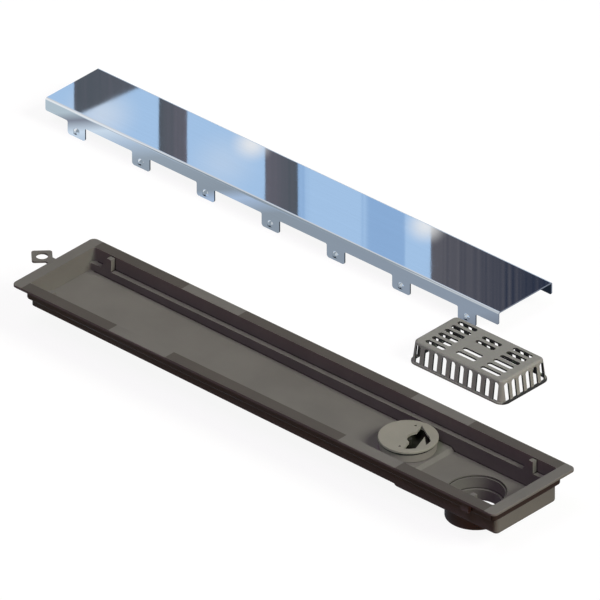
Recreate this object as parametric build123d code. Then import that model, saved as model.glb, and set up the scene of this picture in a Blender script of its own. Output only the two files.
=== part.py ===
from build123d import *
import os
from math import asin, atan, cos, degrees, radians, sin, sqrt

# A linear shower drain for a wet-room floor, shown opened up: the moulded channel stands on its
# outlet spigot, the outlet insert has been pulled and laid on the channel floor, and the hair
# strainer and the folded steel cover are set down behind the channel in line with it.
# Sizes are in millimetres. +X runs along the channel towards its outlet end, +Y points away from
# the near side and +Z is up. The origin lies on the outlet axis, at the lower end of the spigot.

# Channel rim and opening
flange_length = 526.0
flange_width = 98.0
flange_corner = 5.0
flange_thickness = 2.2
flange_edge_round = 0.7
rim_band = 11.0
opening_corner = 2.0

# Channel walls and the ledges that carry the cover
wall = 3.0
end_wall_step = 1.0
ledge_depth = 12.2
ledge_width = 5.0
ledge_thickness = 2.2
skirt_corner = 4.0
skirt_edge_round = 2.0
trough_corner = 4.0
trough_edge_round = 2.5

# Channel floor, which falls to a short ramp and a flat bay round the outlet
floor_depth_start = 19.0
floor_depth_ramp = 23.0
floor_depth_bay = 26.0
floor_thickness = 2.8
ramp_length = 3.0
bay_length = 105.6

# Ribs that keep the cover centred between the ledges: upright on the outlet side, sloped on the other
rib_top_width = 4.5
rib_foot_width = 11.5
rib_from_start_end = 23.0
rib_from_outlet_end = 21.5
rib_below_rim = 1.0

# Outlet: seat for the insert, bore, inner ledge and pipe spigot
outlet_from_end = 63.6
spigot_radius = 25.35
spigot_reach = 18.4
seat_radius = 24.9
seat_depth = 1.6
bore_radius = 23.4
bore_depth = 11.5
outlet_radius = 20.9

# Gusset blocks below the rim beside the outlet
gusset_x = 28.6
gusset_width = 8.0
gusset_reach = 4.5

# Fixing ear on the end away from the outlet
ear_side = 17.0
ear_corner = 2.5
ear_thickness = 1.6
ear_centre_out = 11.5
ear_hole_radius = 5.0
ear_neck_width = 8.5

# Folded steel cover
sheet = 1.2
bend_radius = 2.0
cover_end_gap = 2.0
tab_side_gap = 0.5
side_drop = 11.7
tab_count = 7
tab_width = 19.5
tab_end_margin = 24.75
tab_floor_gap = 3.3
tab_corner = 2.5
tab_root_round = 1.5
cover_above_rim = 8.0

# Pressed dimple in each tab, lanced open below so that its cut edge stands on the ledge
dimple_base_radius = 3.5
dimple_height = 2.2
dimple_skin = 0.9
dimple_tip_radius = 1.4
dimple_centre_above_cut = 1.6
lanced_hole_radius = 3.0

# Hair strainer
strainer_end_gap = 0.8
strainer_side_gap = 2.05
strainer_height = 20.4
strainer_wall = 1.6
strainer_corner = 7.0
strainer_top_round = 2.4
strainer_draft_inset = 2.6
strainer_lip_reach = 1.0
strainer_lip_height = 1.5
side_slot_width = 4.9
side_slot_pitch = 9.4
long_side_slot_count = 10
short_side_slot_count = 6
short_slot_pitch = 8.4
side_slot_top_below = 2.7
top_slot_length = 20.5
top_slot_width = 4.3
top_slot_pitch = 7.7
top_column_pitch = 30.0
outer_column_rows = 6
middle_column_rows = 5

# Outlet insert: cap, cup and seal ring
cap_side_gap = 0.4
cap_thickness = 2.0
cap_edge_bevel = 0.4
cup_side_gap = 0.4
cup_height = 9.5
cup_wall = 1.6
cup_floor = 1.6
cup_foot_bevel = 0.8
groove_height = 2.0
groove_depth = 1.8
seal_squeeze = 0.3
seal_edge_bevel = 0.5
cap_spigot_depth = 1.4
cap_spigot_wall = 1.2
cap_spigot_gap = 0.1
hub_radius = 3.2

# Mouth of the cap: a fan cut off by a chord, with a hub bay and a tongue
mouth_chord_offset = 4.0
mouth_radius = 19.6
mouth_flat_end_angle = 1.5
hub_bay_centre = 8.8
hub_bay_radius = 9.2
tongue_tip_x = 12.7
tongue_tip_y = 4.0
tongue_base_start_angle = -50.0
tongue_base_end_angle = -21.5
mark_side = 2.8
mark_depth = 0.4
mark_from_centre = 16.9
mark_offset = -0.5

# How far a cutting tool runs past the face that it starts from
cut_over = 1.0

# Where the lifted pieces are set down: the shifts run along X from the channel's middle
insert_turn = 20.0
insert_ramp_gap = 1.5
insert_wall_gap = 0.8
strainer_shift = 54.0
strainer_stand_off = 85.8
cover_shift = -218.0
cover_stand_off = 162.5

# Levels and places that follow from the sizes above
rim_z = spigot_reach + floor_thickness + floor_depth_bay
ledge_z = rim_z - ledge_depth
bay_z = rim_z - floor_depth_bay
start_z = rim_z - floor_depth_start
ramp_z = rim_z - floor_depth_ramp
under_z = bay_z - floor_thickness
channel_x = outlet_from_end - flange_length / 2

opening_length = flange_length - 2 * rim_band
opening_width = flange_width - 2 * rim_band
trough_width = opening_width - 2 * ledge_width
trough_start_x = channel_x - opening_length / 2
trough_end_x = channel_x + opening_length / 2
bay_x = trough_end_x - bay_length
ramp_x = bay_x - ramp_length
floor_slope = (start_z - ramp_z) / (ramp_x - trough_start_x)

cover_length = opening_length - 2 * cover_end_gap
cover_width = trough_width - 2 * tab_side_gap
tab_pitch = (cover_length - 2 * tab_end_margin - tab_width) / (tab_count - 1)


def floor_height(x):
    """Height of the sloping floor's upper face, at a place before the ramp."""
    return ramp_z + floor_slope * (ramp_x - x)


def rounded_block(length, width, radius, low_z, high_z):
    """A block with rounded upright edges, centred on the channel."""
    outline = RectangleRounded(length, width, radius)
    return Pos(channel_x, 0, low_z) * extrude(outline, amount=high_z - low_z)


def below_floor_prism(drop, high_z, half_width):
    """Everything between high_z and the line of the floor lowered by drop."""
    left = trough_start_x - 2 * wall
    right = trough_end_x + 2 * wall
    outline = make_face(Polyline(
        (left, high_z),
        (left, floor_height(left) - drop),
        (ramp_x, ramp_z - drop),
        (bay_x, bay_z - drop),
        (right, bay_z - drop),
        (right, high_z),
        close=True,
    ))
    return extrude(Plane.XZ * outline, amount=half_width, both=True)


def channel_outside():
    """Flange, upper skirt and stepped trough, before the inside is cut."""
    flange = rounded_block(flange_length, flange_width, flange_corner, rim_z - flange_thickness, rim_z)
    flange = fillet(flange.edges().group_by(Axis.Z)[-1], flange_edge_round)
    skirt = rounded_block(
        opening_length + 2 * wall,
        opening_width + 2 * wall,
        skirt_corner,
        ledge_z - ledge_thickness,
        rim_z - flange_thickness / 2,
    )
    skirt = fillet(skirt.edges().group_by(Axis.Z)[0], skirt_edge_round)
    trough = rounded_block(
        opening_length + 2 * (wall - end_wall_step),
        trough_width + 2 * wall,
        trough_corner,
        0,
        ledge_z,
    )
    trough &= below_floor_prism(floor_thickness, ledge_z, flange_width)
    trough = fillet(trough.faces().sort_by(Axis.Z)[0].edges(), trough_edge_round)
    return flange + skirt + trough


def channel_inside():
    """The space for the cover above the ledges and for the water below them."""
    upper = rounded_block(opening_length, opening_width, opening_corner, ledge_z, rim_z + cut_over)
    lower = rounded_block(opening_length, trough_width, opening_corner, 0, ledge_z + cut_over)
    lower &= below_floor_prism(0, ledge_z + cut_over, flange_width)
    return upper + lower


def centring_ribs():
    """Four tapered ribs that stand on the ledges near the ends, flush with the trough walls."""
    foot_z = ledge_z - ledge_thickness / 2
    top_z = rim_z - rib_below_rim
    outline = make_face(Polyline(
        (0, foot_z),
        (0, top_z),
        (-rib_top_width, top_z),
        (-rib_foot_width, ledge_z),
        (-rib_foot_width, foot_z),
        close=True,
    ))
    rib = Pos(0, -trough_width / 2, 0) * extrude(Plane.XZ * outline, amount=ledge_width + wall / 2)
    ribs = []
    for x in (trough_start_x + rib_from_start_end, trough_end_x - rib_from_outlet_end):
        near_rib = Pos(x, 0, 0) * rib
        ribs += [near_rib, mirror(near_rib, about=Plane.XZ)]
    return ribs


def outlet_spigot():
    """The pipe end below the bay, as a solid plug."""
    height = under_z + floor_thickness / 2
    return Cylinder(spigot_radius, height, align=(Align.CENTER, Align.CENTER, Align.MIN))


def outlet_cut():
    """Seat, bore and outlet hole, one above the other on the outlet axis."""
    levels = [
        (outlet_radius, -cut_over, bay_z - bore_depth + cut_over),
        (bore_radius, bay_z - bore_depth, bay_z - seat_depth + cut_over),
        (seat_radius, bay_z - seat_depth, bay_z + cut_over),
    ]
    cut = None
    for radius, low_z, high_z in levels:
        step = Pos(0, 0, low_z) * Cylinder(
            radius, high_z - low_z, align=(Align.CENTER, Align.CENTER, Align.MIN)
        )
        cut = step if cut is None else cut + step
    return cut


def gusset_blocks():
    """A small block each side below the rim, level with the outlet."""
    height = ledge_depth + ledge_thickness - flange_thickness / 2 - skirt_edge_round
    side = opening_width / 2 + wall
    blocks = []
    for direction in (-1, 1):
        block = Box(gusset_width, 2 * gusset_reach, height)
        blocks.append(Pos(gusset_x, direction * side, rim_z - flange_thickness / 2 - height / 2) * block)
    return blocks


def fixing_ear():
    """Square lug turned on its corner, with a screw hole and a neck into the flange."""
    lug = Rot(0, 0, 45) * RectangleRounded(ear_side, ear_side, ear_corner)
    neck = Pos(ear_centre_out / 2, 0) * Rectangle(ear_centre_out + 2 * flange_edge_round, ear_neck_width)
    outline = lug + neck - Circle(ear_hole_radius)
    place = Pos(channel_x - flange_length / 2 - ear_centre_out, 0, rim_z - flange_thickness)
    return place * extrude(outline, amount=ear_thickness)


def make_channel_body():
    body = channel_outside() + gusset_blocks() + outlet_spigot()
    body -= channel_inside()
    body += centring_ribs()
    body -= outlet_cut()
    return body + fixing_ear()


def tab_places():
    """Middle of each tab along the cover, from the cover's own middle."""
    first = -cover_length / 2 + tab_end_margin + tab_width / 2
    return [first + index * tab_pitch for index in range(tab_count)]


def tab_drop():
    """From the cover's top down to the tab ends, clear of the floor below the first tab."""
    first_tab_x = trough_start_x + cover_end_gap + tab_end_margin
    return cover_above_rim + rim_z - floor_height(first_tab_x) - tab_floor_gap


def folded_section():
    """The sheet's section across the cover, with its two bends."""
    drop = tab_drop()
    outer = Rectangle(cover_width, drop)
    outer = fillet(outer.vertices().group_by(Axis.Y)[-1], bend_radius)
    inner = Rectangle(cover_width - 2 * sheet, drop)
    inner = fillet(inner.vertices().group_by(Axis.Y)[-1], bend_radius - sheet)
    return Pos(0, drop / 2) * (outer - Pos(0, -sheet) * inner)


def side_outline():
    """The cover seen from the side: a plain band with rounded tabs below it."""
    drop = tab_drop()
    outline = Pos(0, drop - side_drop / 2) * Rectangle(cover_length, side_drop)
    for place in tab_places():
        outline += Pos(place, drop / 2) * Rectangle(tab_width, drop)
    outline = fillet(outline.vertices().group_by(Axis.Y)[1], tab_root_round)
    return fillet(outline.vertices().group_by(Axis.Y)[0], tab_corner)


def dimple_skin_cap():
    """Ball cap that stands out of a sheet along +Z, rooted in the sheet's thickness."""
    ball = (dimple_base_radius ** 2 + dimple_height ** 2) / (2 * dimple_height)
    sink = ball - dimple_height
    root_angle = degrees(asin((sink - sheet / 2) / ball))
    return Pos(0, 0, -sink) * Sphere(ball, arc_size1=root_angle, arc_size2=90, align=None)


def dimple_hollow():
    """Tapered pocket that the punch leaves behind the skin."""
    depth = sheet + dimple_height - dimple_skin
    pocket = Cone(dimple_base_radius - dimple_skin / 2, dimple_tip_radius, depth + cut_over / 4)
    return Pos(0, 0, (depth - cut_over / 4) / 2 - sheet) * pocket


def below_lanced_edge():
    """Everything below the dimple's cut edge, in the dimple's own frame."""
    reach = 2 * dimple_base_radius
    return Pos(0, -dimple_centre_above_cut - reach, 0) * Box(2 * reach, 2 * reach, 2 * reach)


def dimple_cut():
    """The punch's pocket, and below the cut edge the rest of its round hole."""
    hole = Cylinder(lanced_hole_radius, 2 * (sheet + cut_over))
    return (dimple_hollow() - below_lanced_edge()) + (hole & below_lanced_edge())


def on_all_tabs(shape):
    """Copies of a shape at the dimples' places on both sides of the cover."""
    centre_z = tab_drop() - cover_above_rim - ledge_depth + dimple_centre_above_cut
    copies = []
    for turn in (0, 180):
        side = Rot(0, 0, turn) * Pos(0, -cover_width / 2, centre_z) * Rot(90, 0, 0) * shape
        copies += [Pos(place, 0, 0) * side for place in tab_places()]
    return copies


def make_cover_plate():
    length_of_sheet = Pos(-cover_length / 2, 0, 0) * extrude(Plane.YZ * folded_section(), amount=cover_length)
    silhouette = extrude(Plane.XZ * side_outline(), amount=cover_width, both=True)
    cover = length_of_sheet & silhouette
    skin = dimple_skin_cap() - below_lanced_edge()
    return cover + on_all_tabs(skin) - on_all_tabs(dimple_cut())


def strainer_shell():
    """Drafted box, open below, with rounded edges and a lip round its foot."""
    length = bay_length - 2 * strainer_end_gap
    width = cover_width - 2 * sheet - 2 * strainer_side_gap
    draft = degrees(atan(strainer_draft_inset / strainer_height))
    foot_length = length - 2 * strainer_lip_reach
    foot_width = width - 2 * strainer_lip_reach
    outer = extrude(
        RectangleRounded(foot_length, foot_width, strainer_corner), amount=strainer_height, taper=draft
    )
    outer = fillet(outer.edges().group_by(Axis.Z)[-1], strainer_top_round)
    inner = extrude(
        RectangleRounded(
            foot_length - 2 * strainer_wall,
            foot_width - 2 * strainer_wall,
            strainer_corner - strainer_wall,
        ),
        amount=strainer_height - strainer_wall,
        taper=draft,
    )
    lip = extrude(
        RectangleRounded(length, width, strainer_corner + strainer_lip_reach), amount=strainer_lip_height
    )
    return outer + lip - inner


def arched_slot():
    """Outline of one side slot, from above the lip up to its round top."""
    low = strainer_lip_height
    arch = strainer_height - side_slot_top_below - side_slot_width / 2
    leg = Pos(0, (low + arch) / 2) * Rectangle(side_slot_width, arch - low)
    return leg + Pos(0, arch) * Circle(side_slot_width / 2)


def row_of_places(count, pitch):
    """Evenly spaced places about zero."""
    return [(index - (count - 1) / 2) * pitch for index in range(count)]


def make_hair_strainer():
    span = opening_length
    across = extrude(Plane.XZ * arched_slot(), amount=span, both=True)
    along = extrude(Plane.YZ * arched_slot(), amount=span, both=True)
    cuts = [Pos(x, 0, 0) * across for x in row_of_places(long_side_slot_count, side_slot_pitch)]
    cuts += [Pos(0, y, 0) * along for y in row_of_places(short_side_slot_count, short_slot_pitch)]
    top_slot = extrude(SlotOverall(top_slot_length, top_slot_width), amount=strainer_wall + 2 * cut_over)
    top_slot = Pos(0, 0, strainer_height - strainer_wall - cut_over) * top_slot
    for side in (-1, 1):
        for y in row_of_places(outer_column_rows, top_slot_pitch):
            cuts.append(Pos(side * top_column_pitch, y, 0) * top_slot)
    for y in row_of_places(middle_column_rows, top_slot_pitch):
        if y != 0:
            cuts.append(Pos(0, y, 0) * top_slot)
    return strainer_shell() - cuts


def on_circle(radius, angle):
    """Point on a circle about the insert's axis."""
    return (radius * cos(radians(angle)), radius * sin(radians(angle)))


def cap_mouth():
    """Outline of the opening in the cap."""
    chord_y = sqrt(mouth_radius ** 2 - mouth_chord_offset ** 2)
    chord_low = (mouth_chord_offset, -chord_y)
    chord_high = (mouth_chord_offset, chord_y)
    flat_end = on_circle(mouth_radius, mouth_flat_end_angle)
    base_end = on_circle(mouth_radius, tongue_base_end_angle)
    base_start = on_circle(mouth_radius, tongue_base_start_angle)
    middle_angle = (mouth_flat_end_angle + tongue_base_end_angle) / 2
    low_angle = -degrees(atan(chord_y / mouth_chord_offset))
    low_middle = (tongue_base_start_angle + low_angle) / 2
    edge = [
        Line(chord_low, chord_high),
        Line(chord_high, flat_end),
        ThreePointArc(flat_end, on_circle(mouth_radius, middle_angle), base_end),
        Line(base_end, (tongue_tip_x, tongue_tip_y)),
        Line((tongue_tip_x, tongue_tip_y), base_start),
        ThreePointArc(base_start, on_circle(mouth_radius, low_middle), chord_low),
    ]
    bay = Pos(hub_bay_centre, 0) * Circle(hub_bay_radius)
    fan = make_face(edge)
    tongue = make_face(Polyline(base_start, base_end, (tongue_tip_x, tongue_tip_y), close=True))
    return fan + (bay - tongue)


def make_insert_cap():
    """Disc with the mouth and two position marks, and a short ring that enters the cup."""
    radius = seat_radius - cap_side_gap
    disc = extrude(Circle(radius), amount=cap_thickness)
    disc = chamfer(disc.edges().group_by(Axis.Z)[-1], cap_edge_bevel)
    ring_radius = bore_radius - cup_side_gap - groove_depth - cup_wall - cap_spigot_gap
    ring = Circle(ring_radius) - Circle(ring_radius - cap_spigot_wall)
    cap = disc + Pos(0, 0, -cap_spigot_depth) * extrude(ring, amount=cap_spigot_depth)
    cap -= Pos(0, 0, -cut_over) * extrude(cap_mouth(), amount=cap_thickness + 2 * cut_over)
    mark = extrude(RegularPolygon(mark_side / sqrt(3), 3, rotation=90), amount=cap_thickness)
    for side in (-1, 1):
        cap -= Pos(mark_offset, side * mark_from_centre, cap_thickness - mark_depth) * mark
    return cap


def make_insert_body():
    """Cup with a seal groove round its top, a hub and a half-open floor."""
    radius = bore_radius - cup_side_gap
    cup = extrude(Circle(radius), amount=cup_height)
    cup = chamfer(cup.edges().group_by(Axis.Z)[0], cup_foot_bevel)
    groove = Circle(radius + cut_over) - Circle(radius - groove_depth)
    cup -= Pos(0, 0, cup_height - groove_height) * extrude(groove, amount=groove_height + cut_over)
    inside_radius = radius - groove_depth - cup_wall
    cup -= Pos(0, 0, cup_floor) * extrude(Circle(inside_radius), amount=cup_height)
    cup += Cylinder(hub_radius, cup_height, align=(Align.CENTER, Align.CENTER, Align.MIN))
    half = Pos(-mouth_chord_offset - inside_radius, 0) * Rectangle(2 * inside_radius, 2 * inside_radius)
    drain = Circle(inside_radius) & half
    return cup - Pos(0, 0, -cut_over) * extrude(drain, amount=cup_floor + 2 * cut_over)


def make_insert_seal():
    """Rubber ring between the cap and the shoulder of the cup, a little proud of the bore."""
    inside_radius = bore_radius - cup_side_gap - groove_depth
    ring = extrude(Circle(bore_radius + seal_squeeze) - Circle(inside_radius), amount=groove_height)
    outer_edges = ring.edges().filter_by(GeomType.CIRCLE).sort_by(SortBy.RADIUS)[-2:]
    return chamfer(outer_edges, seal_edge_bevel)


def laid_insert(piece, height):
    """Places a piece of the insert on the sloping floor, height above the insert's foot."""
    foot_radius = bore_radius - cup_side_gap
    x = ramp_x - insert_ramp_gap - foot_radius
    y = trough_width / 2 - insert_wall_gap - (seat_radius - cap_side_gap)
    tilt = degrees(atan(floor_slope))
    return Pos(x, y, floor_height(x)) * Rot(0, tilt, 0) * Rot(0, 0, insert_turn) * Pos(0, 0, height) * piece


def main():
    behind = flange_width / 2
    strainer_width = cover_width - 2 * sheet - 2 * strainer_side_gap
    strainer_place = Pos(channel_x + strainer_shift, behind + strainer_stand_off + strainer_width / 2, 0)
    cover_place = Pos(channel_x + cover_shift, behind + cover_stand_off + cover_width / 2, 0)
    pieces = {
        "channel_body": make_channel_body(),
        "cover_plate": cover_place * make_cover_plate(),
        "hair_strainer": strainer_place * make_hair_strainer(),
        "insert_body": laid_insert(make_insert_body(), 0),
        "insert_seal": laid_insert(make_insert_seal(), cup_height - groove_height),
        "insert_cap": laid_insert(make_insert_cap(), cup_height),
    }
    os.makedirs("parts", exist_ok=True)
    for name, piece in pieces.items():
        export_step(piece, "parts/" + name + ".step")


main()
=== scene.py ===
import math

import bpy
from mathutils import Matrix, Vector


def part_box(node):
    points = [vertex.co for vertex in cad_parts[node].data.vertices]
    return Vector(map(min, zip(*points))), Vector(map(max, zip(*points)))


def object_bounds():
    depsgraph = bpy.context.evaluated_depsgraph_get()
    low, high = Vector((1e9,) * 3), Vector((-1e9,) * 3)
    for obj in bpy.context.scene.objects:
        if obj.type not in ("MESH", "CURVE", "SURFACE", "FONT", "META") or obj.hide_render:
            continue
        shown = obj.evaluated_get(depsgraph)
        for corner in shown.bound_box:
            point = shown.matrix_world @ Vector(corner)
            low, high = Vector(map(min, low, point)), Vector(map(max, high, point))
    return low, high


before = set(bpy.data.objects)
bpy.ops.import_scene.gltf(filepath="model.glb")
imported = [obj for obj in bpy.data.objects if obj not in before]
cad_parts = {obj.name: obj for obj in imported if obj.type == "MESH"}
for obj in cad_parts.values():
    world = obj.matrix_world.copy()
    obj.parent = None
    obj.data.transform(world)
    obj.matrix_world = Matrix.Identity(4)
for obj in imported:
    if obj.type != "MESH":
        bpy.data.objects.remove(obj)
cad_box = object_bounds()

# All lengths are in metres, and colours are linear.

# Camera: a long lens seen from above the outlet end
view_azimuth = math.radians(42.51)
view_elevation = math.radians(31.35)
lens_mm = 1600
sensor_mm = 36
picture_width = 0.48166
rim_length = 0.526
aim_right = 0.0063
aim_up = 0.0603
clip_end = 100

# Lamps, each with its azimuth, elevation, softness (degrees), strength and colour
lamps = {
    "key": (98, 38, 24, 3.05, (1.0, 0.99, 0.93)),
    "front_fill": (10, 64, 26, 1.05, (0.92, 0.64, 1.0)),
    "top_fill": (0, 90, 20, 0.22, (0.3, 1.0, 0.1)),
    "low_front_fill": (5, 4, 10, 0.12, (1.0, 0.3, 0.15)),
    "low_end_fill": (90, 4, 10, 0.25, (1.0, 0.3, 0.2)),
}
small_pieces = ("hair_strainer", "insert_cap", "insert_body", "insert_seal")
small_piece_lamp = (15, 12, 30, 0.80, (0.84, 1.0, 0.95))

# World: white behind the object, a blue sky for the steel to mirror, a little even light
white = (1.0, 1.0, 1.0)
ambient_colour = (0.065, 0.045, 0.043)
sky_stops = (
    (0.0, (0.80, 0.83, 0.87)),
    (0.3, (0.60, 0.74, 0.93)),
    (0.52, (0.44, 0.65, 0.94)),
    (0.66, (0.62, 0.72, 0.87)),
    (0.8, (0.72, 0.75, 0.80)),
    (1.0, (0.74, 0.76, 0.80)),
)

# Floor: near white to the camera, and in the steel a tone that changes along the cover, with a painted
# shadow below the cover
floor_radius = 4.0
floor_sides = 72
floor_camera_diffuse = 0.11
floor_camera_glow = 0.91
floor_bounce = (0.085, 0.050, 0.032)
floor_mirrored_stops = (
    (0.0, (0.53, 0.64, 0.72)),
    (0.035, (0.26, 0.29, 0.36)),
    (0.085, (0.73, 0.86, 1.0)),
    (0.14, (0.52, 0.65, 0.82)),
    (0.21, (0.36, 0.43, 0.51)),
    (0.36, (0.31, 0.37, 0.44)),
    (0.40, (0.46, 0.60, 0.82)),
    (0.47, (0.31, 0.37, 0.44)),
    (0.93, (0.31, 0.37, 0.46)),
    (1.0, (0.23, 0.26, 0.32)),
)
floor_mirrored_shift = -0.018
floor_mirrored_slant = 0.9
floor_mirrored_shadow = (0.015, 0.022, 0.035)
dimple_reach = 0.0022

# A low panel before the cover, which its rounded fold mirrors
front_distance = 0.12
front_height = 0.40
front_past_start = 0.40
front_shift = -0.11
front_stops = (
    (0.0, (0.95, 0.98, 1.0)),
    (0.20, (0.88, 0.93, 1.0)),
    (0.28, (0.30, 0.36, 0.42)),
    (0.80, (0.32, 0.38, 0.44)),
    (0.87, (0.66, 0.71, 0.75)),
    (1.0, (0.60, 0.65, 0.70)),
)

# Colours of the panels that the cover's top mirrors
dark_grey = (0.098, 0.115, 0.140)
dark_violet = (0.150, 0.145, 0.180)
dark_navy = (0.025, 0.035, 0.065)
dark_mauve = (0.128, 0.127, 0.150)
mid_blue = (0.31, 0.50, 0.80)
sky_blue = (0.44, 0.65, 0.94)
streak_scale = 330.0
streak_detail = 3.0
streak_share = 1.5

# Places of those panels across the picture, from its middle, and across the cover, from its
# near edge (0) to its far edge (1)
wall_distance = 1.5
corner_outline = ((-0.1814, -0.05), (-0.0489, 2.5), (-0.1814, 2.5))
upright_low = -2.0
upright_high = 3.0

# Upright panels, each with its left and right side and the colours there
uprights = {
    "mirrored_post": (-0.1132, -0.0907, dark_grey, dark_violet),
    "mirrored_door": (-0.0281, -0.0016, dark_violet, dark_grey),
    "mirrored_haze_narrow": (-0.0016, 0.0085, mid_blue, sky_blue),
    "mirrored_haze_edge": (0.0490, 0.0560, sky_blue, mid_blue),
    "mirrored_haze": (0.0560, 0.0843, mid_blue, mid_blue),
    "mirrored_wall": (0.1051, 0.2031, dark_mauve, dark_navy),
}

# Soft white spots, each with its places across picture and cover, distance, radius and strength
glows = {
    "mirrored_cloud_left": (-0.1600, 0.20, 1.55, 0.040, 0.42),
    "mirrored_cloud_middle": (-0.0620, 0.35, 1.55, 0.040, 0.21),
    "mirrored_glow_left": (-0.0386, 0.91, 1.45, 0.022, 0.9),
    "mirrored_glow_right": (0.1010, 0.91, 1.45, 0.022, 0.9),
}

# Noise is near its middle almost everywhere, so ranges and colours spread over these parts of it
noise_low = 0.3
noise_high = 0.7
colour_low = 0.35
colour_high = 0.65

# Plastics, each with its colour, how much that varies, and its roughness
channel_finish = ((0.144, 0.143, 0.126), 0.06, 0.50)
strainer_finish = ((0.226, 0.231, 0.206), 0.05, 0.45)
cap_finish = ((0.232, 0.230, 0.190), 0.05, 0.42)
cup_finish = ((0.196, 0.186, 0.162), 0.05, 0.42)
roughness_change = 0.05
plastic_specular = 0.09
grain_scale = 2200.0
grain_detail = 2.0
grain_depth = 0.00004
flow_scale = 28.0
flow_detail = 4.0

# Rubber
rubber_colour = (0.012, 0.012, 0.013)
rubber_change = 0.3
rubber_roughness = (0.50, 0.65)
bloom_scale = 180.0
bloom_detail = 3.0

# Steel
steel_colour = (0.80, 0.81, 0.82)
steel_change = 0.02
steel_roughness = (0.012, 0.022)
polish_scale = (14.0, 2600.0, 2600.0)
polish_detail = 3.0
polish_depth = 0.0000004
wave_scale = 9.0
wave_detail = 1.0
wave_depth = 0.00002
haze_detail = 3.0

# Painted dark reflection on the lower side of the cover's dimples: how far a face looks down, from none
# to fully dark, and how far it may look sideways
dimple_dark_reflection = (0.02, 0.022, 0.03)
looking_down = (-0.02, -0.06)
dimple_dark_share = 0.48

# Keyed stretches on the long sides of the rim, with a plain pad each side of the middle
keyed_tint = (0.56, 0.52, 0.50)
keyed_half_length = 0.252
keyed_inner_edge = 0.0381
keyed_below_top = 0.0009
pad_from_middle = 0.125
pad_half_length = 0.031

# Painted shade as dark lines in the channel's concave corners, by how open a corner is, from fully dark
# to none
corner_reach = 0.0016
corner_samples = 8
corner_open = (0.50, 0.85)
corner_shade_tint = (0.12, 0.12, 0.12)
corner_from_start = 0.015

# Shade under the rim at the outlet end
end_shade_from_end = 0.0125
end_shade_facing = 0.25
end_shade_top = 0.0452
end_shade_bottom = 0.0328
end_shade_tint = (0.24, 0.16, 0.14)

# Painted shade on the inside of the strainer, on the cut faces of its slots, and on its lip at the
# outlet end
basket_inside_shade = (0.20, 0.20, 0.19)
looking_inward = (0.0, -0.004)
slots_from_ends = 0.0065
slots_from_sides = 0.0056
slot_face_share = 0.7
lip_reach = 0.0024
lip_height = 0.0017
lip_shade_tint = (0.14, 0.14, 0.14)

# Painted shade inside the cup, and in the two small dents beside the cap's mouth
cup_inside_radius = 0.0205
cup_inside_shade = (0.12, 0.13, 0.11)
mark_places = ((-0.0062, 0.0157), (0.0053, -0.0160))
mark_reach = 0.0020
mark_below_top = 0.00045
mark_shade_tint = (0.16, 0.16, 0.16)

# Numbers of a Mix node's colour sockets, because its other sockets have the same names
mix_first = 6
mix_second = 7
mix_result = 2


def side_direction(azimuth, elevation):
    """Unit vector from the object towards that side; azimuth 0 is the front, -Y."""
    flat = math.cos(elevation)
    return Vector((math.sin(azimuth) * flat, -math.cos(azimuth) * flat, math.sin(elevation)))


def link_object(name, data):
    made = bpy.data.objects.new(name, data)
    bpy.context.scene.collection.objects.link(made)
    return made


def rim_centre():
    low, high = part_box("channel_body")
    return Vector((high.x - rim_length / 2, (low.y + high.y) / 2, high.z))


to_camera = side_direction(view_azimuth, view_elevation)
view_right = Vector((math.cos(view_azimuth), math.sin(view_azimuth), 0))
view_up = to_camera.cross(view_right)
camera_distance = picture_width * lens_mm / sensor_mm
camera_aim = rim_centre() + view_right * aim_right + view_up * aim_up
camera_place = camera_aim + to_camera * camera_distance


def add_camera():
    data = bpy.data.cameras.new("camera")
    data.lens = lens_mm
    data.sensor_width = sensor_mm
    data.clip_end = clip_end
    camera = link_object("camera", data)
    camera.location = camera_place
    camera.rotation_mode = "QUATERNION"
    camera.rotation_quaternion = (-to_camera).to_track_quat("-Z", "Y")
    bpy.context.scene.camera = camera


def add_lamp(name, azimuth, elevation, softness, strength, colour):
    data = bpy.data.lights.new(name, "SUN")
    data.energy = strength
    data.color = colour
    data.angle = math.radians(softness)
    lamp = link_object(name, data)
    towards = side_direction(math.radians(azimuth), math.radians(elevation))
    lamp.rotation_mode = "QUATERNION"
    lamp.rotation_quaternion = (-towards).to_track_quat("-Z", "Y")
    lamp.visible_glossy = False
    return lamp


def add_lamps():
    """The general lamps, and one that lights only the small pale pieces."""
    for name, values in lamps.items():
        add_lamp(name, *values)
    lit = bpy.data.collections.new("small_pieces")
    for node in small_pieces:
        lit.objects.link(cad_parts[node])
    lamp = add_lamp("small_piece_lamp", *small_piece_lamp)
    lamp.light_linking.receiver_collection = lit
    lamp.light_linking.blocker_collection = lit


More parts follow.
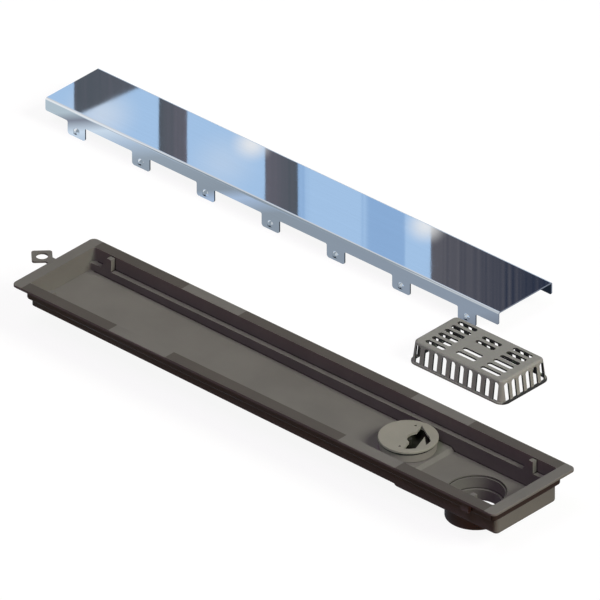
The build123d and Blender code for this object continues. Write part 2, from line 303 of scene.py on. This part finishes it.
class Tree:
    """The nodes of a material or of the world, each fed with sockets or plain values."""

    def __init__(self, owner):
        owner.use_nodes = True
        self.nodes = owner.node_tree.nodes
        self.links = owner.node_tree.links
        self.nodes.clear()

    def node(self, kind, inputs, output=0, **settings):
        """Adds a node with these settings and inputs, and gives its output."""
        made = self.nodes.new(kind)
        for name, value in settings.items():
            setattr(made, name, value)
        for name, value in inputs.items():
            socket = made.inputs[name]
            if isinstance(value, bpy.types.NodeSocket):
                self.links.new(value, socket)
            elif socket.type == "RGBA":
                socket.default_value = (*value, 1)
            else:
                socket.default_value = value
        return made.outputs[output]

    def place(self):
        """Where a point is in the row's frame."""
        return self.node("ShaderNodeTexCoord", {}, "Object")

    def normal(self):
        return self.node("ShaderNodeNewGeometry", {}, "Normal")

    def axes(self, vector):
        """The X, Y and Z of a vector, by name."""
        return self.node("ShaderNodeSeparateXYZ", {0: vector}).node.outputs

    def math(self, operation, *values, **settings):
        return self.node("ShaderNodeMath", dict(enumerate(values)), operation=operation, **settings)

    def all_of(self, mask, *others):
        """1 where every mask is 1."""
        for other in others:
            mask = self.math("MULTIPLY", mask, other)
        return mask

    def vector(self, operation, first, second, output="Vector"):
        return self.node("ShaderNodeVectorMath", {0: first, 1: second}, output, operation=operation)

    def map_range(self, value, start, end, low=0.0, high=1.0, **settings):
        """Maps the range from start to end to the one from low to high."""
        inputs = {"Value": value, "From Min": start, "From Max": end, "To Min": low, "To Max": high}
        return self.node("ShaderNodeMapRange", inputs, **settings)

    def ramp(self, value, stops):
        """The colours of these (place, colour) stops."""
        shown = self.node("ShaderNodeValToRGB", {"Fac": value}, "Color")
        elements = shown.node.color_ramp.elements
        while len(elements) > 1:
            elements.remove(elements[-1])
        elements[0].position = stops[0][0]
        elements[0].color = (*stops[0][1], 1)
        for place, colour in stops[1:]:
            elements.new(place).color = (*colour, 1)
        return shown

    def noise(self, place, scale, detail):
        """Noise with one scale, or with one for each axis."""
        if isinstance(scale, tuple):
            place = self.node("ShaderNodeMapping", {"Vector": place, "Scale": scale})
            scale = 1.0
        inputs = {"Vector": place, "Scale": scale, "Detail": detail}
        return self.node("ShaderNodeTexNoise", inputs, "Fac")

    def diffuse(self, colour):
        return self.node("ShaderNodeBsdfDiffuse", {"Color": colour})

    def emission(self, colour, strength=1.0):
        return self.node("ShaderNodeEmission", {"Color": colour, "Strength": strength})

    def mix(self, share, first, second):
        """Shows the first shader where the share is 0 and the second where it is 1."""
        return self.node("ShaderNodeMixShader", {0: share, 1: first, 2: second})

    def by_ray(self, plain, mirrored, seen):
        """One shader for mirrors, one for the camera and through glass, and one for all else."""
        rays = self.node("ShaderNodeLightPath", {}).node.outputs
        shown = self.mix(rays["Is Glossy Ray"], plain, mirrored)
        for ray in ("Is Camera Ray", "Is Transmission Ray"):
            shown = self.mix(rays[ray], shown, seen)
        return shown

    def show(self, shader, kind="ShaderNodeOutputMaterial"):
        output = self.nodes.new(kind)
        self.links.new(shader, output.inputs["Surface"])


def make_world():
    world = bpy.data.worlds.new("studio")
    bpy.context.scene.world = world
    tree = Tree(world)
    direction = tree.node("ShaderNodeTexCoord", {}, "Generated")
    sky = tree.ramp(tree.axes(direction)["Z"], sky_stops)
    ambient = tree.emission(ambient_colour)
    shown = tree.by_ray(ambient, tree.emission(sky), tree.emission(white))
    tree.show(shown, "ShaderNodeOutputWorld")


def new_material(name):
    """An empty material and its tree."""
    material = bpy.data.materials.new(name)
    return material, Tree(material)


def below_cover(tree):
    """1 on the floor below the cover, where its shadow is painted, and 0 around it."""
    low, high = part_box("cover_plate")
    middle = (low + high) / 2
    spot = tree.axes(tree.place())
    along = tree.math("COMPARE", spot["X"], middle.x, high.x - middle.x)
    across = tree.math("COMPARE", spot["Y"], middle.y, high.y - middle.y - dimple_reach)
    return tree.all_of(along, across)


def along_cover(tree, stops, shift, slant=0.0):
    """Colours that change from one end of the cover to the other, slanted towards the front."""
    low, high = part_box("cover_plate")
    spot = tree.axes(tree.place())
    forward = tree.math("SUBTRACT", spot["Y"], low.y)
    along = tree.math("MULTIPLY_ADD", forward, slant, spot["X"])
    return tree.ramp(tree.map_range(along, low.x + shift, high.x + shift), stops)


def floor_material():
    """Near white to the camera with the object's shadow on it, and a blue grey in the steel with a
    painted shadow below the cover.
    """
    material, tree = new_material("floor")
    pale = tree.diffuse((floor_camera_diffuse,) * 3)
    glow = tree.emission(white, floor_camera_glow)
    seen = tree.node("ShaderNodeAddShader", {0: pale, 1: glow})
    tone = along_cover(tree, floor_mirrored_stops, floor_mirrored_shift, floor_mirrored_slant)
    below = tree.emission(floor_mirrored_shadow)
    mirrored = tree.mix(below_cover(tree), tree.emission(tone), below)
    tree.show(tree.by_ray(tree.diffuse(floor_bounce), mirrored, seen))
    return material


def flat_shape(name, corners, material):
    """One flat face with these corners, which isn't part of the object."""
    mesh = bpy.data.meshes.new(name)
    mesh.from_pydata([tuple(corner) for corner in corners], [], [tuple(range(len(corners)))])
    mesh.materials.append(material)
    made = link_object(name, mesh)
    return made


def add_floor():
    low, high = cad_box
    middle = (low + high) / 2
    turns = [math.radians(360 / floor_sides * step) for step in range(floor_sides)]
    corners = [
        (middle.x + floor_radius * math.cos(turn), middle.y + floor_radius * math.sin(turn), low.z)
        for turn in turns
    ]
    flat_shape("floor", corners, floor_material())


def only_mirrored(made):
    """Shows an object to mirrors only."""
    made.visible_camera = False
    made.visible_diffuse = False
    made.visible_shadow = False
    made.visible_transmission = False


def wall_spot(across_picture, across_cover, distance=wall_distance):
    """Where the camera's ray meets the far wall after the cover's top has mirrored it."""
    low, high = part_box("cover_plate")
    y = low.y + (high.y - low.y) * across_cover
    start = Vector((0, y, high.z)) - camera_place
    turn = camera_distance * view_right.x + across_picture * to_camera.x
    x = -(across_picture * start.dot(to_camera) + camera_distance * start.dot(view_right)) / turn
    spot = Vector((x, y, high.z))
    ray = (spot - camera_place).normalized()
    mirrored = Vector((ray.x, ray.y, -ray.z))
    away = Vector((-to_camera.x, -to_camera.y, 0)).normalized()
    reach = (distance - (spot - (low + high) / 2).dot(away)) / mirrored.dot(away)
    return spot + mirrored * reach


def panel_material(name, left_colour, right_colour, left, right):
    """A dull streaky panel that goes from one colour to the other across the view."""
    material, tree = new_material(name)
    along = tree.vector("DOT_PRODUCT", tree.place(), view_right, "Value")
    streaks = tree.node(
        "ShaderNodeTexNoise",
        {"W": along, "Scale": streak_scale, "Detail": streak_detail},
        "Fac",
        noise_dimensions="1D",
    )
    streaks = tree.math("MULTIPLY_ADD", streaks, streak_share, -streak_share / 2)
    share = tree.math("ADD", tree.map_range(along, left, right), streaks, use_clamp=True)
    tree.show(tree.emission(tree.ramp(share, ((0.0, left_colour), (1.0, right_colour)))))
    return material


def add_panel(name, outline, left_colour, right_colour):
    """A panel on the far wall, with its outline in places across the picture and the cover."""
    spots = [wall_spot(across_picture, across_cover) for across_picture, across_cover in outline]
    sides = [spot.dot(view_right) for spot in spots]
    material = panel_material(name, left_colour, right_colour, min(sides), max(sides))
    only_mirrored(flat_shape(name, spots, material))


def add_front_panel():
    """The low panel before the cover."""
    low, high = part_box("cover_plate")
    material, tree = new_material("mirrored_front")
    tree.show(tree.emission(along_cover(tree, front_stops, front_shift)))
    left = low.x - front_past_start
    y = low.y - front_distance
    corners = ((left, y, low.z), (high.x, y, low.z), (high.x, y, front_height), (left, y, front_height))
    only_mirrored(flat_shape("mirrored_front", corners, material))


def add_glow(name, across_picture, across_cover, distance, radius, strength):
    """A soft white spot before or behind the panels."""
    centre = wall_spot(across_picture, across_cover, distance)
    across = view_right * radius
    upward = Vector((0, 0, radius))
    corners = (
        centre - across - upward,
        centre + across - upward,
        centre + across + upward,
        centre - across + upward,
    )
    material, tree = new_material(name)
    away = tree.vector("DISTANCE", tree.place(), centre, "Value")
    share = tree.map_range(away, 0.0, radius, strength, 0.0, interpolation_type="SMOOTHSTEP")
    clear = tree.node("ShaderNodeBsdfTransparent", {})
    tree.show(tree.mix(share, clear, tree.emission(white)))
    only_mirrored(flat_shape(name, corners, material))


def add_panels():
    add_panel("mirrored_corner", corner_outline, dark_grey, dark_violet)
    for name, (left, right, left_colour, right_colour) in uprights.items():
        lower = ((left, upright_low), (right, upright_low))
        upper = ((right, upright_high), (left, upright_high))
        add_panel(name, lower + upper, left_colour, right_colour)
    add_front_panel()
    for name, values in glows.items():
        add_glow(name, *values)


def spread(tree, value, low, high):
    """Maps noise to the range from low to high."""
    return tree.map_range(value, noise_low, noise_high, low, high)


def bump(tree, height, depth, below=None):
    """Bumps of this depth, on top of other bumps if there are any below."""
    inputs = {"Height": height, "Distance": depth}
    if below is not None:
        inputs["Normal"] = below
    return tree.node("ShaderNodeBump", inputs)


def varied_colour(tree, value, colour, change):
    """Goes from a slightly darker to a slightly lighter colour."""
    darker = tuple(part * (1 - change) for part in colour)
    lighter = tuple(part * (1 + change) for part in colour)
    return tree.ramp(value, ((colour_low, darker), (colour_high, lighter)))


def tinted(tree, share, colour, tint):
    """Multiplies a colour by a tint where the share is 1."""
    inputs = {0: share, mix_first: colour, mix_second: tint}
    return tree.node("ShaderNodeMix", inputs, mix_result, data_type="RGBA", blend_type="MULTIPLY")


def keyed_rim(tree):
    """1 on the rim's keyed stretches and 0 elsewhere."""
    centre = rim_centre()
    spot = tree.axes(tree.place())
    along = tree.math("ABSOLUTE", tree.math("SUBTRACT", spot["X"], centre.x))
    long_enough = tree.math("LESS_THAN", along, keyed_half_length)
    pad = tree.math("COMPARE", along, pad_from_middle, pad_half_length)
    stretch = tree.math("SUBTRACT", long_enough, pad)
    outside = tree.math("GREATER_THAN", tree.math("ABSOLUTE", spot["Y"]), keyed_inner_edge)
    top = tree.math("GREATER_THAN", spot["Z"], centre.z - keyed_below_top)
    return tree.all_of(stretch, outside, top)


def painted_corner_shade(tree):
    """1 where shade is painted in narrow concave corners, and 0 on open faces and at the higher end."""
    openness = tree.node(
        "ShaderNodeAmbientOcclusion",
        {"Distance": corner_reach},
        "AO",
        samples=corner_samples,
        only_local=True,
    )
    narrow = tree.map_range(openness, *corner_open, 1.0, 0.0)
    start = rim_centre().x - rim_length / 2 + corner_from_start
    past_start = tree.math("GREATER_THAN", tree.axes(tree.place())["X"], start)
    return tree.all_of(narrow, past_start)


def under_rim_end(tree):
    """1 on the skirt right under the rim at the outlet end."""
    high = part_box("channel_body")[1]
    spot = tree.axes(tree.place())
    half_way = (end_shade_top + end_shade_bottom) / 2
    at_end = tree.math("GREATER_THAN", spot["X"], high.x - end_shade_from_end)
    at_height = tree.math("COMPARE", spot["Z"], half_way, end_shade_top - half_way)
    facing = tree.math("GREATER_THAN", tree.axes(tree.normal())["X"], end_shade_facing)
    return tree.all_of(at_end, at_height, facing)


def facing_inside(tree):
    """1 where shade is painted on the strainer's inner faces and on the cut faces of its slots, 0 on
    its outside.
    """
    low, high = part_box("hair_strainer")
    middle = (low + high) / 2
    from_foot = tree.vector("SUBTRACT", tree.place(), (middle.x, middle.y, low.z))
    normal = tree.normal()
    outward = tree.vector("DOT_PRODUCT", from_foot, normal, "Value")
    mask = tree.map_range(outward, *looking_inward)
    spot = tree.axes(from_foot)
    side = tree.axes(normal)
    reach_x = (high.x - low.x) / 2 - slots_from_ends
    reach_y = (high.y - low.y) / 2 - slots_from_sides
    for axis, reach in (("X", reach_x), ("Y", reach_y)):
        near = tree.math("COMPARE", spot[axis], 0.0, reach)
        turned = tree.math("GREATER_THAN", tree.math("ABSOLUTE", side[axis]), slot_face_share)
        mask = tree.math("MAXIMUM", mask, tree.all_of(near, turned))
    return mask


def lip_at_end(tree):
    """1 on the strainer's lip at the end towards the outlet, where shade is painted, and 0 elsewhere.
    """
    low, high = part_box("hair_strainer")
    spot = tree.axes(tree.place())
    at_end = tree.math("GREATER_THAN", spot["X"], high.x - lip_reach)
    at_foot = tree.math("LESS_THAN", spot["Z"], low.z + lip_height)
    return tree.all_of(at_end, at_foot)


def round_upright(tree, x, y, radius):
    """1 in an upright cylinder and 0 outside it."""
    flat = tree.vector("MULTIPLY", tree.place(), (1, 1, 0))
    away = tree.vector("DISTANCE", flat, (x, y, 0), "Value")
    return tree.math("LESS_THAN", away, radius)


def mark_dent_shade(tree):
    """1 in the two small dents beside the cap's mouth, where their shade is painted."""
    low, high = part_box("insert_cap")
    middle = (low + high) / 2
    near = [round_upright(tree, middle.x + x, middle.y + y, mark_reach) for x, y in mark_places]
    dent = tree.math("LESS_THAN", tree.axes(tree.place())["Z"], high.z - mark_below_top)
    return tree.all_of(tree.math("ADD", *near), dent)


def inside_cup(tree):
    """1 inside the insert's cup, where shade is painted, and 0 on its outside."""
    low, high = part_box("insert_body")
    middle = (low + high) / 2
    return round_upright(tree, middle.x, middle.y, cup_inside_radius)


def facing_down(tree):
    """1 on faces that look down, such as the lower middle of a dimple, where a dark reflection is
    painted, and 0 on upright ones.
    """
    side = tree.axes(tree.normal())
    down = tree.map_range(side["Z"], *looking_down)
    middle = tree.math("LESS_THAN", tree.math("ABSOLUTE", side["X"]), dimple_dark_share)
    return tree.all_of(down, middle)


def moulded_plastic(name, finish, shades):
    """Matt plastic with a fine mould grain, faint flow marks and (mask, tint) shades, which are painted
    shade except the rim's keyed stretches.
    """
    colour, change, roughness = finish
    material, tree = new_material(name)
    flow = tree.noise(tree.place(), flow_scale, flow_detail)
    grain = tree.noise(tree.place(), grain_scale, grain_detail)
    tone = varied_colour(tree, flow, colour, change)
    for mask, tint in shades:
        tone = tinted(tree, mask(tree), tone, tint)
    tree.show(tree.node("ShaderNodeBsdfPrincipled", {
        "Base Color": tone,
        "Roughness": spread(tree, flow, roughness - roughness_change, roughness + roughness_change),
        "Specular IOR Level": plastic_specular,
        "Normal": bump(tree, grain, grain_depth),
    }))
    return material


def seal_rubber():
    """Soft black rubber with a faint bloom."""
    material, tree = new_material("seal_rubber")
    bloom = tree.noise(tree.place(), bloom_scale, bloom_detail)
    grain = tree.noise(tree.place(), grain_scale, grain_detail)
    tree.show(tree.node("ShaderNodeBsdfPrincipled", {
        "Base Color": varied_colour(tree, bloom, rubber_colour, rubber_change),
        "Roughness": spread(tree, bloom, *rubber_roughness),
        "Normal": bump(tree, grain, grain_depth),
    }))
    return material


def polished_steel():
    """Mirror polish with faint lines along the sheet and the slight waves of folded sheet."""
    material, tree = new_material("polished_steel")
    lines = tree.noise(tree.place(), polish_scale, polish_detail)
    waves = tree.noise(tree.place(), wave_scale, wave_detail)
    haze = tree.noise(tree.place(), flow_scale, haze_detail)
    tone = varied_colour(tree, lines, steel_colour, steel_change)
    tree.show(tree.node("ShaderNodeBsdfPrincipled", {
        "Metallic": 1.0,
        # The steel's colour is darkened on faces that look down: a painted dark reflection.
        "Base Color": tinted(tree, facing_down(tree), tone, dimple_dark_reflection),
        "Roughness": spread(tree, haze, *steel_roughness),
        "Normal": bump(tree, lines, polish_depth, bump(tree, waves, wave_depth)),
    }))
    return material


channel_shades = (
    (keyed_rim, keyed_tint),
    (painted_corner_shade, corner_shade_tint),
    (under_rim_end, end_shade_tint),
)
strainer_shades = (
    (facing_inside, basket_inside_shade),
    (lip_at_end, lip_shade_tint),
)
cap_shades = ((mark_dent_shade, mark_shade_tint),)
cup_shades = ((inside_cup, cup_inside_shade),)


def dress(node, material):
    """Gives a CAD node this material."""
    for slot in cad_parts[node].material_slots:
        slot.material = material


add_camera()
add_lamps()
make_world()
add_floor()
add_panels()

# The strainer isn't mirrored in the cover's side.
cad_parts["hair_strainer"].visible_glossy = False

dress("channel_body", moulded_plastic("channel_plastic", channel_finish, channel_shades))
dress("hair_strainer", moulded_plastic("strainer_plastic", strainer_finish, strainer_shades))
dress("insert_cap", moulded_plastic("insert_plastic", cap_finish, cap_shades))
dress("insert_body", moulded_plastic("insert_cup_plastic", cup_finish, cup_shades))
dress("insert_seal", seal_rubber())
dress("cover_plate", polished_steel())

bpy.context.scene.view_settings.view_transform = "Standard"
